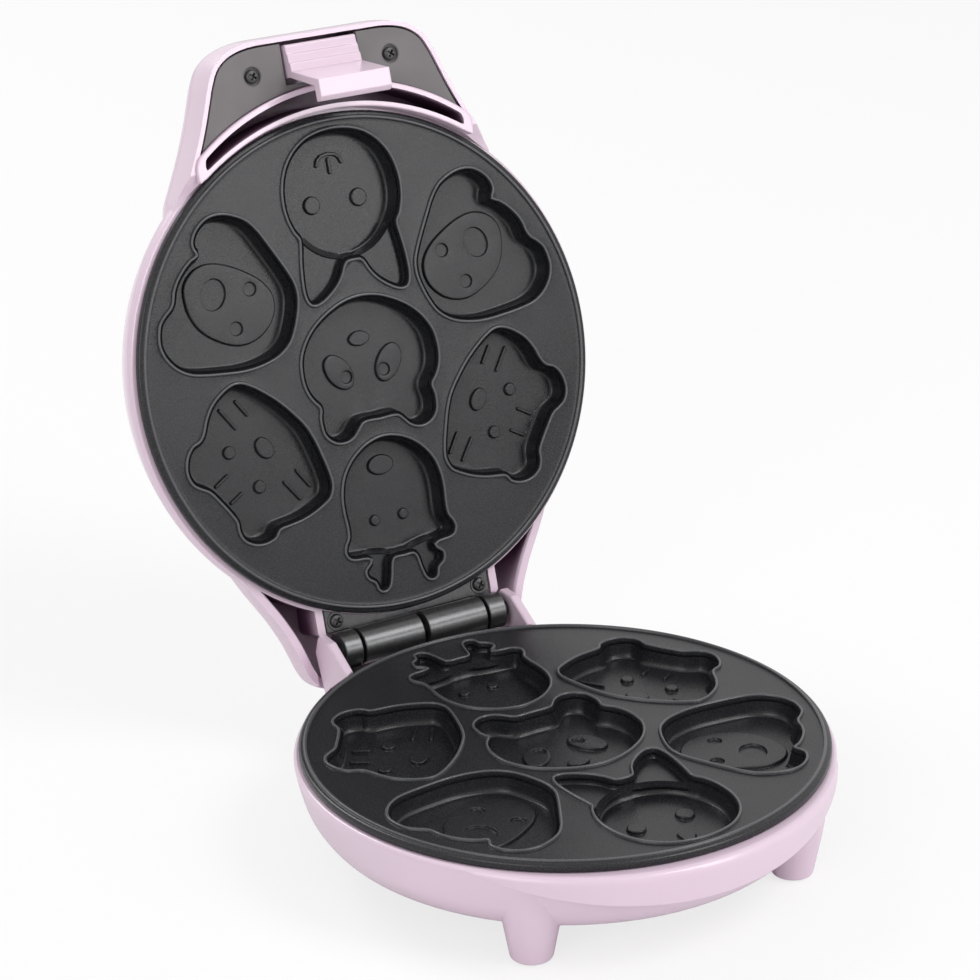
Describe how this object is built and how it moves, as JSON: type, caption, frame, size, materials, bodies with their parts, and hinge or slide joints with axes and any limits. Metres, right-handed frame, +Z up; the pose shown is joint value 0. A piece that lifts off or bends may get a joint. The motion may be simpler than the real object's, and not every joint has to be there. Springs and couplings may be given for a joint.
{
  "type": "mini cake maker",
  "caption": "Countertop mini cake maker standing open: round base and hinged lid with animal-head moulds, a front handle and a sprung latch.",
  "frame": {"origin": "centre of the footprint of the whole object with the lid open, on the table plane", "axes": "+Z up, +X to the right seen from the handle side, +Y from the handle side towards the hinge"},
  "size_m": [0.2048, 0.3074, 0.2753],
  "materials": {
    "pink_plastic": "glossy moulded polypropylene, pale lilac pink",
    "non_stick": "fine-grained charcoal non-stick coating on cast aluminium",
    "grey_plastic": "matte moulded plastic, mid grey",
    "black_metal": "satin black coated die casting",
    "dark_screws": "blackened cross-head screws",
    "steel": "plain bright steel",
    "aluminium": "pressed aluminium sheet",
    "ceramic": "dark phenolic and ceramic",
    "black_rubber": "soft black rubber",
    "pale_rubber": "pale silicone rubber",
    "red_lens": "clear-dyed red lens",
    "green_lens": "clear-dyed green lens"
  },
  "bodies": {
    "base": {"base_shell": "pink_plastic", "base_bottom_cover": "pink_plastic", "base_cook_plate": "non_stick", "base_hinge_leaf": "black_metal", "hinge_pin": "black_metal", "base_hinge_screw_left": "dark_screws", "base_hinge_screw_right": "dark_screws", "cover_screw_1": "dark_screws", "cover_screw_2": "dark_screws", "cover_screw_3": "dark_screws", "base_shield_screw_1": "steel", "base_shield_screw_2": "steel", "base_shield_screw_3": "steel", "base_heater": "steel", "base_thermal_fuse": "steel", "base_heat_shield": "aluminium", "base_thermostat": "ceramic", "terminal_block": "ceramic", "cord_grommet": "black_rubber", "foot_pad_front_right": "pale_rubber", "foot_pad_front_left": "pale_rubber", "foot_pad_rear_right": "pale_rubber", "foot_pad_rear_left": "pale_rubber"},
    "lid": {"lid_shell": "pink_plastic", "lid_cook_plate": "non_stick", "handle_panel": "grey_plastic", "lid_hinge_leaf": "black_metal", "lid_hinge_screw_left": "dark_screws", "lid_hinge_screw_right": "dark_screws", "handle_screw_left": "dark_screws", "handle_screw_right": "dark_screws", "lid_shield_screw_1": "steel", "lid_shield_screw_2": "steel", "lid_shield_screw_3": "steel", "latch_pin": "steel", "latch_spring": "steel", "lid_heater": "steel", "lid_thermal_fuse": "steel", "lid_heat_shield": "aluminium", "lid_thermostat": "ceramic", "power_lamp": "red_lens", "ready_lamp": "green_lens"},
    "latch_body": {"latch": "pink_plastic"}
  },
  "joints": [
    {"name": "lid_hinge", "type": "hinge", "parent": "base", "child": "lid", "pos_m": [0, 0.06151, 0.0443], "axis": [1, 0, 0], "range_deg": [0, 107]},
    {"name": "latch_swing", "type": "hinge", "parent": "lid", "child": "latch_body", "pos_m": [0, 0.13568, 0.26568], "axis": [-1, 0, 0], "range_deg": [0, 8], "stiffness_Nm_per_rad": 0.1, "springref_deg": -28.65}
  ]
}
